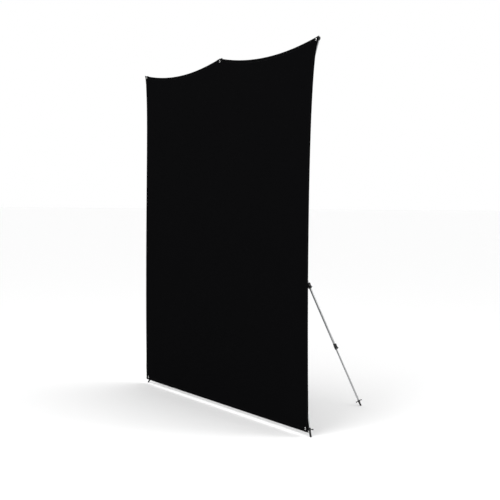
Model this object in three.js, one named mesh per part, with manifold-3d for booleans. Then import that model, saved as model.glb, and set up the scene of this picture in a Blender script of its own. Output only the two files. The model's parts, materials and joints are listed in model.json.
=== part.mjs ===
// A collapsible backdrop panel: a black cloth held open on the arm tips of a folding aluminium frame.
// Seven telescopic arms are hinged on one hub behind the cloth and fold back together like an umbrella.
// Three arms carry the top edge, two legs carry the bottom corners and two legs stand out behind.
// Millimetres. X is to the right seen from the front, Y runs backwards from the cloth, Z is up.
import * as THREE from "three";
import { mergeVertices } from "three/addons/utils/BufferGeometryUtils.js";
import Module from "manifold-3d";

const wasm = await Module();
wasm.setup();

// ---- Driving dimensions ----------------------------------------------------------------------

// Where the frame stands and reaches. The cloth hangs in the plane y = 0.
const HUB_SETBACK = 450;
const HUB_HEIGHT = 1466;
const TOP_CORNER_X = 1272;
const TOP_CORNER_Z = 2423;
const TOP_CENTRE_Z = 2427;
const FRONT_FOOT_X = 1222;
const FRONT_FOOT_Y = 15;
const REAR_FOOT_X = 419;
const REAR_FOOT_Y = 930;
const CLEAT_SETBACK = 17;

// Telescopic tubes, from the hub outwards.
const OUTER_TUBE_RADIUS = 9.5;
const MIDDLE_TUBE_RADIUS = 8;
const INNER_TUBE_RADIUS = 6.5;
const TUBE_WALL = 1;
const OUTER_TUBE_END = 665;
const CENTRE_OUTER_TUBE_END = 640;
const REAR_OUTER_TUBE_END = 610;
const FRONT_LEG_MIDDLE_SHOWS = 613;
const REAR_LEG_MIDDLE_SHOWS = 470;
const TOP_ARM_MIDDLE_SHOWS = 490;
const TUBE_OVERLAP = 70;
const SWAGE_CLEARANCE = 24;
const SWAGE_LENGTH = 4;
const FIT_GAP = 0.3;

// Knuckle: the moulded root of each outer tube, hinged in the hub.
const KNUCKLE_EYE_RADIUS = 7.5;
const KNUCKLE_TONGUE = 9.6;
const KNUCKLE_SHOULDER = 16;
const KNUCKLE_PLUG_END = 40;
const KNUCKLE_BITE = 2;

// Hub: a plate across the arms' hinge line with a pair of ears for every arm.
const HUB_PLATE = 5;
const HINGE_STANDOFF = 16;
const EAR_THICKNESS = 4.5;
const EAR_RADIUS = 8;
const EAR_GAP = 0.4;
const HUB_RIM = 9;
const FRONT_LEG_HINGE_RADIUS = 38;
const REAR_LEG_HINGE_RADIUS = 74;
const TOP_ARM_HINGE_RADIUS = 47;
const TOP_CENTRE_HINGE_RADIUS = 36;
const HUB_BOSS_RADIUS = 12;
const HUB_BOSS_LENGTH = 9;
const HUB_BOLT_RADIUS = 4;
const BOLT_HEAD_RADIUS = 7.5;
const BOLT_HEAD_HEIGHT = 4.5;
const NUT_HEIGHT = 7;
const WASHER_RADIUS = 10;
const WASHER_THICKNESS = 1.6;
const COVER_THICKNESS = 3;
const COVER_RADIUS = 24;
const COVER_RIM = 1;
const BOLT_SHOWS = 2;
const SOLID_BITE = 1;

// Flip lock: a stepped collar with two lugs, and the lever between them.
const LOCK_WALL = 2.8;
const LOCK_GRIP_BACK = 24;
const LOCK_GRIP_FRONT = 18;
const LOCK_CHAMFER = 2;
const LUG_GAP = 8.8;
const LUG_THICKNESS = 2.8;
const LUG_LENGTH = 12;
const LUG_RISE = 9;
const LEVER_WIDTH = 8;
const LEVER_THICKNESS = 4.4;
const LEVER_REACH = 31;
const LEVER_BOW = 2.4;
const LEVER_PIVOT_RISE = 5;
const LEVER_PIVOT_BACK = 8;
const LEVER_STEPS = 6;

// Arm tip: a collar plugged into the inner tube, a cleat across it and, on a leg, a rubber foot beyond.
const PLUG_LENGTH = 30;
const CAP_RADIUS = 8;
const CAP_END_RADIUS = 6.5;
const CAP_BACK = 6;
const CAP_FRONT = 10;
const CAP_STEP = 2;
const BLUNT_FRONT = 16;
const CLEAT_RADIUS = 3;
const CLEAT_LIP_CLEARANCE = 1;
const CLEAT_LIP_RADIUS = 5.2;
const CLEAT_LIP_LENGTH = 3;
const CLEAT_BACK = 25;
const FOOT_RADIUS = 6;
const FOOT_END_RADIUS = 4.5;
const FRONT_FOOT_LENGTH = 60;
const REAR_FOOT_LENGTH = 38;
const FOOT_TAPER = 10;
const SOLE_DEPTH = 3;

// Backdrop cloth, hooked on the front prong of five tips.
const CLOTH_THICKNESS = 1.2;
const CLOTH_HEM = 20;
const CORNER_PULL = 16;
const TOP_SAG = 62;
const FLARE_LENGTH = 250;
const FLARE_POWER = 0.75;
const GROMMET_CLEARANCE = 0.4;
const OUTLINE_STEPS = 10;
const HOLE_STEPS = 3;

const ROUND_SEGMENTS = 12;
const SMALL_SEGMENTS = 8;
const HEX = 6;

// ---- Materials -------------------------------------------------------------------------------

const ALUMINIUM = new THREE.MeshStandardMaterial({ color: 0xb9bbbd, roughness: 0.35, metalness: 1 });
const NYLON = new THREE.MeshStandardMaterial({ color: 0x141416, roughness: 0.5, metalness: 0 });
const RUBBER = new THREE.MeshStandardMaterial({ color: 0x0e0e0f, roughness: 0.85, metalness: 0 });
const STEEL = new THREE.MeshStandardMaterial({ color: 0x8d8f92, roughness: 0.3, metalness: 1 });
const CLOTH = new THREE.MeshStandardMaterial({ color: 0x0b0b0d, roughness: 0.95, metalness: 0 });

// ---- Solids ----------------------------------------------------------------------------------

/** A closed geometry as a solid that can be joined and cut. */
function solidOf(geometry) {
  const bare = geometry.clone();
  bare.deleteAttribute("normal");
  bare.deleteAttribute("uv");
  const merged = mergeVertices(bare, 1e-4);
  const vertProperties = new Float32Array(merged.attributes.position.array);
  const triVerts = new Uint32Array(merged.index.array);
  return new wasm.Manifold(new wasm.Mesh({ numProp: 3, vertProperties, triVerts }));
}

/** A solid back as a geometry. */
function geometryOf(solid) {
  const mesh = solid.getMesh();
  const geometry = new THREE.BufferGeometry();
  geometry.setAttribute("position", new THREE.BufferAttribute(mesh.vertProperties, 3));
  geometry.setIndex(new THREE.BufferAttribute(mesh.triVerts, 1));
  geometry.computeVertexNormals();
  return geometry;
}

/** All the geometries joined into one. */
function join(...geometries) {
  const solids = geometries.map(solidOf);
  return geometryOf(solids.reduce((whole, next) => whole.add(next)));
}

/** The first geometry with the others cut away. */
function cut(geometry, ...tools) {
  return geometryOf(tools.map(solidOf).reduce((whole, tool) => whole.subtract(tool), solidOf(geometry)));
}

/** A solid of revolution about Y from [radius, y] points that close on the axis or on themselves. */
function turned(points, segments = ROUND_SEGMENTS) {
  return new THREE.LatheGeometry(points.map(([r, y]) => new THREE.Vector2(r, y)), segments);
}

/** A ring about Y with the given outer profile of [radius, y] points and one bore radius. */
function tube(radius, wall, from, to) {
  const bore = radius - wall;
  return turned([[bore, from], [radius, from], [radius, to], [bore, to], [bore, from]]);
}

/** A cylinder about Y between two heights. */
function rod(radius, from, to, segments = ROUND_SEGMENTS) {
  return turned([[0, from], [radius, from], [radius, to], [0, to]], segments);
}

/** A flat shape in XY given thickness along Z, centred on Z = 0. */
function slab(shape, thickness, curveSegments = SMALL_SEGMENTS) {
  const geometry = new THREE.ExtrudeGeometry(shape, { depth: thickness, bevelEnabled: false, curveSegments });
  return geometry.translate(0, 0, -thickness / 2);
}

function block(width, height, depth, x, y, z) {
  return new THREE.BoxGeometry(width, height, depth).translate(x, y, z);
}

function part(name, geometry, material) {
  const mesh = new THREE.Mesh(geometry, material);
  mesh.name = name;
  return mesh;
}

// ---- Arms ------------------------------------------------------------------------------------

// Each arm is drawn along its own +Y from its hinge, with +X on the side that faces the cloth.
// side is -1 on the left, 0 at the centre and 1 on the right.
const cornerTip = (side) => new THREE.Vector3(side * TOP_CORNER_X, CLEAT_SETBACK, TOP_CORNER_Z);
const topArm = {
  tipAt: cornerTip,
  hingeRadius: TOP_ARM_HINGE_RADIUS,
  outerEnd: OUTER_TUBE_END,
  footLength: 0,
};
const frontLeg = {
  footAt: (side) => new THREE.Vector3(side * FRONT_FOOT_X, FRONT_FOOT_Y, 0),
  hingeRadius: FRONT_LEG_HINGE_RADIUS,
  outerEnd: OUTER_TUBE_END,
  footLength: FRONT_FOOT_LENGTH,
};
const rearLeg = {
  footAt: (side) => new THREE.Vector3(side * REAR_FOOT_X, REAR_FOOT_Y, 0),
  hingeRadius: REAR_LEG_HINGE_RADIUS,
  outerEnd: REAR_OUTER_TUBE_END,
  footLength: REAR_FOOT_LENGTH,
};
const centreArm = {
  tipAt: () => new THREE.Vector3(0, CLEAT_SETBACK, TOP_CENTRE_Z),
  hingeRadius: TOP_CENTRE_HINGE_RADIUS,
  outerEnd: CENTRE_OUTER_TUBE_END,
  footLength: 0,
};
const ARMS = [
  { name: "top_left_arm", side: -1, middleShows: TOP_ARM_MIDDLE_SHOWS, holdsCloth: true, ...topArm },
  { name: "top_centre_arm", side: 0, middleShows: null, holdsCloth: true, ...centreArm },
  { name: "top_right_arm", side: 1, middleShows: TOP_ARM_MIDDLE_SHOWS, holdsCloth: true, ...topArm },
  { name: "front_left_leg", side: -1, middleShows: FRONT_LEG_MIDDLE_SHOWS, holdsCloth: true, ...frontLeg },
  { name: "front_right_leg", side: 1, middleShows: FRONT_LEG_MIDDLE_SHOWS, holdsCloth: true, ...frontLeg },
  { name: "rear_left_leg", side: -1, middleShows: REAR_LEG_MIDDLE_SHOWS, holdsCloth: false, ...rearLeg },
  { name: "rear_right_leg", side: 1, middleShows: REAR_LEG_MIDDLE_SHOWS, holdsCloth: false, ...rearLeg },
];

const HUB = new THREE.Vector3(0, HUB_SETBACK, HUB_HEIGHT);
const BACKWARDS = new THREE.Vector3(0, 1, 0);

/** Where an arm's hinge, axis and cleat are: the arm lies in the plane of its target and the hub's axis. */
function placeArm(arm) {
  const target = arm.footAt ? arm.footAt(arm.side) : arm.tipAt(arm.side);
  const outward = target.clone().sub(HUB).setY(0).normalize();
  const hinge = HUB.clone().addScaledVector(outward, arm.hingeRadius);
  const along = target.clone().sub(hinge).normalize();
  const soleReach = arm.footLength ? arm.footLength - SOLE_DEPTH : 0;
  const reach = target.distanceTo(hinge) - soleReach;
  const forward = BACKWARDS.clone().negate().addScaledVector(along, along.y).normalize();
  const across = forward.clone().cross(along);
  const frame = new THREE.Matrix4().makeBasis(forward, along, across).setPosition(hinge);
  const cleat = hinge.clone().addScaledVector(along, reach);
  const prong = prongLength(arm.holdsCloth ? cleat.y : CLEAT_SETBACK, -forward.y);
  return { outward, hinge, forward, reach, frame, cleat, prong };
}

/** How long a cleat's prongs are, leaning by the angle of this cosine, for the lip to clear the cloth. */
function prongLength(setback, cosine) {
  const lean = Math.sqrt(1 - cosine * cosine);
  const lipBack = setback + CLOTH_THICKNESS / 2 + CLEAT_LIP_CLEARANCE + CLEAT_LIP_RADIUS * lean;
  return lipBack / cosine + CLEAT_LIP_LENGTH;
}

/** The outer tube with its moulded knuckle: an eye and tongue at the hinge and a plug inside the tube. */
function outerTube(end) {
  const bore = OUTER_TUBE_RADIUS - TUBE_WALL;
  const shell = turned([
    [0, KNUCKLE_SHOULDER],
    [OUTER_TUBE_RADIUS, KNUCKLE_SHOULDER],
    [OUTER_TUBE_RADIUS, end],
    [bore, end],
    [bore, KNUCKLE_PLUG_END],
    [0, KNUCKLE_PLUG_END],
  ]);
  const eye = new THREE.Shape();
  eye.absarc(0, 0, KNUCKLE_EYE_RADIUS, Math.PI, 0, false);
  eye.lineTo(KNUCKLE_EYE_RADIUS, KNUCKLE_SHOULDER + KNUCKLE_BITE);
  eye.lineTo(-KNUCKLE_EYE_RADIUS, KNUCKLE_SHOULDER + KNUCKLE_BITE);
  return join(shell, slab(eye, KNUCKLE_TONGUE));
}

/** The collar of a flip lock about Y, with y = 0 where the larger tube ends and the lugs on +X. */
function lockCollar(largeRadius, smallRadius) {
  const body = largeRadius + LOCK_WALL;
  const wide = largeRadius + FIT_GAP;
  const narrow = smallRadius + FIT_GAP;
  const ring = turned([
    [wide, -LOCK_GRIP_BACK],
    [body - LOCK_CHAMFER, -LOCK_GRIP_BACK],
    [body, LOCK_CHAMFER - LOCK_GRIP_BACK],
    [body, LOCK_GRIP_FRONT - LOCK_CHAMFER],
    [body - LOCK_CHAMFER, LOCK_GRIP_FRONT],
    [narrow, LOCK_GRIP_FRONT],
    [narrow, FIT_GAP],
    [wide, FIT_GAP],
    [wide, -LOCK_GRIP_BACK],
  ]);
  const lugSink = LOCK_WALL / 2;
  const lugHeight = LUG_RISE + lugSink;
  const lugX = body - lugSink + lugHeight / 2;
  const lugY = LOCK_GRIP_FRONT - LEVER_PIVOT_BACK;
  const lugZ = (LUG_GAP + LUG_THICKNESS) / 2;
  const lugs = [-1, 1].map((sign) => block(lugHeight, LUG_LENGTH, LUG_THICKNESS, lugX, lugY, sign * lugZ));
  return join(ring, ...lugs);
}

/** The lever of a flip lock about its own pivot: it lies back along -Y and bows away from the tube. */
function lockLever() {
  const half = LEVER_THICKNESS / 2;
  const outline = new THREE.Shape();
  outline.moveTo(half, 0);
  outline.absarc(0, 0, half, 0, Math.PI, false);
  outline.quadraticCurveTo(LEVER_BOW - half, -LEVER_REACH / 2, half, -LEVER_REACH);
  outline.lineTo(half + LEVER_BOW, -LEVER_REACH);
  outline.quadraticCurveTo(LEVER_BOW + half, -LEVER_REACH / 2, half, 0);
  return slab(outline, LEVER_WIDTH, LEVER_STEPS);
}

/** The tip about the cleat's centre: a plug and collar, a cleat along X and a leg's foot towards +Y.
 *  A leg's cleat has a prong each way, and a top arm's only the one that holds the cloth. */
function armTip(footLength, prong) {
  const plug = INNER_TUBE_RADIUS - TUBE_WALL - FIT_GAP;
  const bluntEnd = [
    [CAP_END_RADIUS, BLUNT_FRONT],
    [0, BLUNT_FRONT],
  ];
  const footEnd = [
    [FOOT_RADIUS, CAP_FRONT],
    [FOOT_RADIUS, footLength - FOOT_TAPER],
    [FOOT_END_RADIUS, footLength],
    [0, footLength],
  ];
  const cap = turned([
    [0, -PLUG_LENGTH],
    [plug, -PLUG_LENGTH],
    [plug, -CAP_BACK],
    [CAP_RADIUS, -CAP_BACK],
    [CAP_RADIUS, (footLength ? CAP_FRONT : BLUNT_FRONT) - CAP_STEP],
    ...(footLength ? footEnd : bluntEnd),
  ]);
  const across = [
    rod(CLEAT_RADIUS, footLength ? -CLEAT_BACK : 0, prong, SMALL_SEGMENTS),
    rod(CLEAT_LIP_RADIUS, prong - CLEAT_LIP_LENGTH, prong, SMALL_SEGMENTS),
  ];
  if (footLength) {
    across.push(rod(CLEAT_LIP_RADIUS, -CLEAT_BACK, CLEAT_LIP_LENGTH - CLEAT_BACK, SMALL_SEGMENTS));
  }
  return join(cap, ...across.map((piece) => piece.rotateZ(-Math.PI / 2)));
}

/** A leg's tip with a flat sole where it meets the floor. */
function footTip(frame, reach, footLength, prong) {
  const depth = 2 * footLength;
  const ground = block(4 * depth, 4 * depth, depth, 0, 0, -depth / 2);
  const foot = new THREE.Vector3(0, reach + footLength, 0).applyMatrix4(frame);
  ground.translate(foot.x, foot.y, 0);
  ground.applyMatrix4(frame.clone().invert());
  ground.translate(0, -reach, 0);
  return cut(armTip(footLength, prong), ground);
}

/** A lock's collar and lever where one tube ends, turned so that the lever is on the given side. */
function addLock(group, label, end, side, largeRadius, smallRadius) {
  const lock = new THREE.Group();
  lock.position.y = end;
  lock.rotation.y = (-side * Math.PI) / 2;
  const collar = part(`${label}_lock`, lockCollar(largeRadius, smallRadius), NYLON);
  const lever = part(`${label}_lever`, lockLever(), NYLON);
  lever.position.x = largeRadius + LOCK_WALL + LEVER_PIVOT_RISE;
  lever.position.y = LOCK_GRIP_FRONT - LEVER_PIVOT_BACK;
  lock.add(collar, lever);
  group.add(lock);
}

function buildArm(arm) {
  const { frame, reach, prong } = placeArm(arm);
  const group = new THREE.Group();
  group.name = arm.name;
  group.applyMatrix4(frame);
  group.add(part(`${arm.name}_outer_tube`, outerTube(arm.outerEnd), ALUMINIUM));
  let end = arm.outerEnd;
  let nextRadius = INNER_TUBE_RADIUS;
  if (arm.middleShows) {
    const middleEnd = end + arm.middleShows;
    const middle = tube(MIDDLE_TUBE_RADIUS, TUBE_WALL, end - TUBE_OVERLAP, middleEnd);
    addLock(group, `${arm.name}_upper`, end, arm.side, OUTER_TUBE_RADIUS, MIDDLE_TUBE_RADIUS);
    group.add(part(`${arm.name}_middle_tube`, middle, ALUMINIUM));
    addLock(group, `${arm.name}_lower`, middleEnd, arm.side, MIDDLE_TUBE_RADIUS, INNER_TUBE_RADIUS);
    end = middleEnd;
  } else {
    nextRadius = MIDDLE_TUBE_RADIUS;
    addLock(group, `${arm.name}_upper`, end, arm.side, OUTER_TUBE_RADIUS, nextRadius);
  }
  // A two-section arm's inner tube is a middle-size sleeve swaged down to the tip's bore.
  const tubeEnd = reach - CAP_BACK - FIT_GAP;
  const start = end - TUBE_OVERLAP;
  const swage = reach - CAP_BACK - SWAGE_CLEARANCE;
  const neck = swage + SWAGE_LENGTH;
  const inner =
    nextRadius === INNER_TUBE_RADIUS
      ? tube(INNER_TUBE_RADIUS, TUBE_WALL, start, tubeEnd)
      : turned([
          [nextRadius - TUBE_WALL, start],
          [nextRadius, start],
          [nextRadius, swage],
          [INNER_TUBE_RADIUS, neck],
          [INNER_TUBE_RADIUS, tubeEnd],
          [INNER_TUBE_RADIUS - TUBE_WALL, tubeEnd],
          [INNER_TUBE_RADIUS - TUBE_WALL, neck],
          [nextRadius - TUBE_WALL, swage],
          [nextRadius - TUBE_WALL, start],
        ]);
  group.add(part(`${arm.name}_inner_tube`, inner, ALUMINIUM));
  const { footLength } = arm;
  const tipShape = footLength ? footTip(frame, reach, footLength, prong) : armTip(footLength, prong);
  const tip = part(`${arm.name}_tip`, tipShape, RUBBER);
  tip.position.y = reach;
  group.add(tip);
  return group;
}

// ---- Hub -------------------------------------------------------------------------------------

/** The plate's outline: a rounded web from the middle of the hub to every hinge. */
function hubWeb(outward, radius) {
  const web = new THREE.Shape();
  web.absarc(0, 0, HUB_RIM, Math.PI, 0, false);
  web.lineTo(HUB_RIM, radius);
  web.absarc(0, radius, HUB_RIM, 0, Math.PI, false);
  const turn = Math.atan2(outward.z, outward.x) - Math.PI / 2;
  return slab(web, HUB_PLATE).rotateZ(turn);
}

/** One of the two ears that hold an arm's knuckle, standing on the plate's back. */
function hubEar(outward, radius, sign) {
  const ear = new THREE.Shape();
  ear.moveTo(-EAR_RADIUS, -HINGE_STANDOFF - HUB_PLATE / 2);
  ear.lineTo(EAR_RADIUS, -HINGE_STANDOFF - HUB_PLATE / 2);
  ear.absarc(0, 0, EAR_RADIUS, 0, Math.PI, false);
  const offset = KNUCKLE_TONGUE / 2 + EAR_GAP + EAR_THICKNESS / 2;
  const solid = slab(ear, EAR_THICKNESS).translate(radius, 0, sign * offset);
  return solid.rotateY(-Math.atan2(outward.z, outward.x));
}

/** The hub body about the hinge plane, hinge axes at y = 0, plate towards the cloth. */
function hubBody(places) {
  const plateY = -HINGE_STANDOFF - HUB_PLATE / 2;
  const pieces = places.map(({ outward, hingeRadius }) => {
    // The web is drawn in X and Z, so it is stood up from the XY plane.
    return hubWeb(outward, hingeRadius).rotateX(Math.PI / 2).translate(0, plateY, 0);
  });
  const disc = rod(COVER_RADIUS, -HINGE_STANDOFF - HUB_PLATE, -HINGE_STANDOFF);
  const boss = rod(HUB_BOSS_RADIUS, -HINGE_STANDOFF - SOLID_BITE, HUB_BOSS_LENGTH - HINGE_STANDOFF);
  const ears = places.flatMap(({ outward, hingeRadius }) =>
    [-1, 1].map((sign) => hubEar(outward, hingeRadius, sign)),
  );
  const bore = rod(HUB_BOLT_RADIUS + FIT_GAP, -2 * HINGE_STANDOFF, HINGE_STANDOFF, SMALL_SEGMENTS);
  return cut(join(disc, boss, ...pieces, ...ears), bore);
}

function buildHub(places) {
  const group = new THREE.Group();
  group.position.copy(HUB);
  const plateFront = -HINGE_STANDOFF - HUB_PLATE;
  const coverBack = plateFront - FIT_GAP;
  const coverFront = coverBack - COVER_THICKNESS;
  const headBack = coverFront - FIT_GAP;
  const bossEnd = HUB_BOSS_LENGTH - HINGE_STANDOFF;
  const washerEnd = bossEnd + FIT_GAP + WASHER_THICKNESS;
  const nutEnd = washerEnd + FIT_GAP + NUT_HEIGHT;
  const hole = HUB_BOLT_RADIUS + FIT_GAP;
  const cover = turned([
    [hole, coverBack],
    [hole, coverFront],
    [COVER_RADIUS - COVER_THICKNESS, coverFront],
    [COVER_RADIUS, coverBack - COVER_RIM],
    [COVER_RADIUS, coverBack],
    [hole, coverBack],
  ]);
  const shank = rod(HUB_BOLT_RADIUS, headBack - SOLID_BITE, nutEnd + BOLT_SHOWS, SMALL_SEGMENTS);
  const head = rod(BOLT_HEAD_RADIUS, headBack - BOLT_HEAD_HEIGHT, headBack, SMALL_SEGMENTS);
  const washer = tube(WASHER_RADIUS, WASHER_RADIUS - hole, bossEnd + FIT_GAP, washerEnd);
  const nut = cut(
    rod(BOLT_HEAD_RADIUS, washerEnd + FIT_GAP, nutEnd, HEX),
    rod(hole, washerEnd, nutEnd + SOLID_BITE, SMALL_SEGMENTS),
  );
  group.add(part("hub_body", hubBody(places), NYLON));
  group.add(part("hub_front_cover", cover, NYLON));
  group.add(part("hub_bolt", join(head, shank), STEEL));
  group.add(part("hub_washer", washer, STEEL));
  group.add(part("hub_nut", nut, STEEL));
  return group;
}

// ---- Cloth -----------------------------------------------------------------------------------

/** Where a tip's front prong crosses the cloth, as [x, z]. */
function grommetOf(arm) {
  const { cleat, forward } = placeArm(arm);
  const through = cleat.clone().addScaledVector(forward, cleat.y / -forward.y);
  return new THREE.Vector2(through.x, through.z);
}

/** The cloth: straight below, flaring to the pulled top corners, its top edge slack between the tips. */
function clothPanel(arms) {
  const grommets = arms.filter((arm) => arm.holdsCloth).map(grommetOf);
  const bottom = grommets.reduce((low, g) => (g.x > 0 && g.y < low.y ? g : low), grommets[2]);
  const topCorner = grommets.reduce((best, g) => (g.x > 0 && g.y > best.y ? g : best), bottom);
  const topCentre = grommets.find((g) => Math.abs(g.x) < 1);
  const bottomX = bottom.x + CLOTH_HEM + CORNER_PULL;
  const bottomZ = bottom.y - CLOTH_HEM;
  const topX = topCorner.x + CLOTH_HEM + CORNER_PULL;
  const topZ = topCorner.y + CLOTH_HEM;
  const peakZ = topCentre.y + CLOTH_HEM;
  const flare = (drop) => (topX - bottomX) * Math.exp(-((drop / FLARE_LENGTH) ** FLARE_POWER));
  const edge = [];
  for (let step = 0; step <= OUTLINE_STEPS; step += 1) {
    const drop = (topZ - bottomZ) * (1 - step / OUTLINE_STEPS) ** 2;
    edge.push(new THREE.Vector2(bottomX + flare(drop), topZ - drop));
  }
  const top = [];
  for (let step = 1; step < OUTLINE_STEPS; step += 1) {
    const share = step / OUTLINE_STEPS;
    const sag = 4 * TOP_SAG * share * (1 - share);
    top.push(new THREE.Vector2(edge.at(-1).x * (1 - share), topZ + (peakZ - topZ) * share - sag));
  }
  const right = [...edge, ...top];
  const left = right.map((point) => new THREE.Vector2(-point.x, point.y)).reverse();
  const outline = new THREE.Shape([...right, new THREE.Vector2(0, peakZ), ...left]);
  const holeRadius = CLEAT_LIP_RADIUS + GROMMET_CLEARANCE;
  outline.holes = grommets.map((grommet) =>
    new THREE.Path().absarc(grommet.x, grommet.y, holeRadius, 0, 2 * Math.PI, true),
  );
  return slab(outline, CLOTH_THICKNESS, HOLE_STEPS).rotateX(Math.PI / 2);
}

// ---- Assembly --------------------------------------------------------------------------------

const panel = new THREE.Group();
const places = ARMS.map((arm) => ({ ...placeArm(arm), hingeRadius: arm.hingeRadius }));
panel.add(buildHub(places));
for (const arm of ARMS) {
  panel.add(buildArm(arm));
}
panel.add(part("backdrop_cloth", clothPanel(ARMS), CLOTH));

// The origin is on the floor under the middle of the object's box.
panel.updateMatrixWorld(true);
const extent = new THREE.Box3().setFromObject(panel, true);
const middle = extent.getCenter(new THREE.Vector3());
panel.position.set(-middle.x, -middle.y, -extent.min.z);

export default panel;
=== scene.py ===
"""Looks of a collapsible backdrop panel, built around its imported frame.

A black knitted cloth is hooked on the tips of a folding spider frame of telescopic aluminium arms.
Every arm is drawn in its own axes, which come from the frame's joints, so each piece lies where its CAD
node lies.
"""

import json
import logging
import math
import random
from dataclasses import dataclass
from enum import Enum
from typing import Any, Iterable, Sequence

import bmesh
import bpy
from mathutils import Matrix, Vector


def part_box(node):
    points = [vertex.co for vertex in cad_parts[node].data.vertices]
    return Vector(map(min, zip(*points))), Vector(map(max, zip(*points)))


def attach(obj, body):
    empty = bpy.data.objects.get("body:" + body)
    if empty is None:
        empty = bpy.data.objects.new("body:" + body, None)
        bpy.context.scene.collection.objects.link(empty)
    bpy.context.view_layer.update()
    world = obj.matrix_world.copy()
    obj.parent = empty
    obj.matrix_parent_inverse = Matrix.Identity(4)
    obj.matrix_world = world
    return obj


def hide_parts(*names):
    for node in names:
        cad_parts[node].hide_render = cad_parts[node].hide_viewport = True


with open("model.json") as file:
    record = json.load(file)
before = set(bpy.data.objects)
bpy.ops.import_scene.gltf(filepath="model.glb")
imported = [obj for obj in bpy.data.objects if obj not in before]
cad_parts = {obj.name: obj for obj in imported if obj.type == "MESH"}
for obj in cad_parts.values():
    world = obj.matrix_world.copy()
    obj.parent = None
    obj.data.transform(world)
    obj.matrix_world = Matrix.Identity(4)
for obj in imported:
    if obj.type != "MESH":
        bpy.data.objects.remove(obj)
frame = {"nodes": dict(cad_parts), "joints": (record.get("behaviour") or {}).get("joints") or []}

LOG = logging.getLogger("backdrop")
MM = 0.001
Point = tuple[float, float]


# ---- Colours and nodes -----------------------------------------------------------------------


def linear(colour: str) -> tuple[float, float, float, float]:
    """The linear value of an sRGB hex colour.

    Args:
        colour: six hex digits with a leading hash.

    Returns:
        Linear red, green, blue and an alpha of one.
    """
    channels = [int(colour[i : i + 2], 16) / 255 for i in (1, 3, 5)]
    red, green, blue = (c / 12.92 if c <= 0.04045 else ((c + 0.055) / 1.055) ** 2.4 for c in channels)
    return red, green, blue, 1.0


def add_node(
    tree: bpy.types.NodeTree,
    kind: str,
    settings: dict[str, Any] | None = None,
    inputs: dict[str, Any] | None = None,
) -> bpy.types.Node:
    """Adds one node, sets it up and links it.

    Args:
        tree: the material's node tree.
        kind: the node's type name.
        settings: node properties by name.
        inputs: a value or another node's output socket for each input, by the input's name or number.

    Returns:
        The new node.
    """
    made = tree.nodes.new(kind)
    for name, value in (settings or {}).items():
        setattr(made, name, value)
    for name, value in (inputs or {}).items():
        socket = made.inputs[name]
        if isinstance(value, bpy.types.NodeSocket):
            tree.links.new(value, socket)
        else:
            socket.default_value = value
    return made


@dataclass(frozen=True)
class Finish:
    """A surface: what the material is and how it was made. Lengths are millimetres of the real pattern."""

    name: str
    colour: str
    roughness: float
    metallic: float = 0.0
    specular: float = 0.5
    grain_mm: float = 1.0
    grain_depth_mm: float = 0.02
    shade: float = 0.12

    def material(self) -> bpy.types.Material:
        """The finish as a material, made once and shared."""
        found = bpy.data.materials.get(self.name)
        if found:
            return found
        made = bpy.data.materials.new(self.name)
        made.use_nodes = True
        made.diffuse_color = linear(self.colour)
        tree = made.node_tree
        shader = tree.nodes["Principled BSDF"]
        shader.inputs["Metallic"].default_value = self.metallic
        shader.inputs["Specular IOR Level"].default_value = self.specular
        self.dress(tree, shader)
        return made

    def place(
        self, tree: bpy.types.NodeTree, stretch: Sequence[float] = (1.0, 1.0, 1.0)
    ) -> bpy.types.NodeSocket:
        """The piece's own coordinates in millimetres, scaled by stretch.

        Args:
            tree: the material's node tree.
            stretch: a factor for each of the piece's axes.

        Returns:
            The vector socket.
        """
        where = add_node(tree, "ShaderNodeTexCoord")
        scale = tuple(factor / MM for factor in stretch)
        mapping = add_node(
            tree, "ShaderNodeMapping", inputs={"Vector": where.outputs["Object"], "Scale": scale}
        )
        return mapping.outputs["Vector"]

    def speckle(
        self, tree: bpy.types.NodeTree, shader: bpy.types.Node, grain: bpy.types.NodeSocket, spread: float
    ) -> None:
        """Lets a pattern lighten and roughen the surface a little.

        Args:
            tree: the material's node tree.
            shader: the Principled node.
            grain: the pattern, from 0 to 1.
            spread: how far roughness moves either way.
        """
        dark = tuple(c * (1 - self.shade) for c in linear(self.colour)[:3]) + (1.0,)
        light = tuple(min(1.0, c * (1 + self.shade)) for c in linear(self.colour)[:3]) + (1.0,)
        mix = add_node(
            tree,
            "ShaderNodeMix",
            settings={"data_type": "RGBA"},
            inputs={0: grain, 6: dark, 7: light},
        )
        tree.links.new(mix.outputs[2], shader.inputs["Base Color"])
        rough = add_node(
            tree,
            "ShaderNodeMapRange",
            inputs={"Value": grain, "To Min": self.roughness - spread, "To Max": self.roughness + spread},
        )
        tree.links.new(rough.outputs["Result"], shader.inputs["Roughness"])

    def bump(
        self, tree: bpy.types.NodeTree, height: bpy.types.NodeSocket, depth_mm: float
    ) -> bpy.types.NodeSocket:
        """A bump from a height pattern.

        Args:
            tree: the material's node tree.
            height: the pattern, from 0 to 1.
            depth_mm: how deep the pattern is.

        Returns:
            The normal socket.
        """
        made = add_node(
            tree, "ShaderNodeBump", inputs={"Height": height, "Distance": depth_mm * MM, "Strength": 1.0}
        )
        return made.outputs["Normal"]

    def dress(self, tree: bpy.types.NodeTree, shader: bpy.types.Node) -> None:
        """Adds the surface's pattern to the shader.

        Args:
            tree: the material's node tree.
            shader: the Principled node.
        """
        raise NotImplementedError


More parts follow.
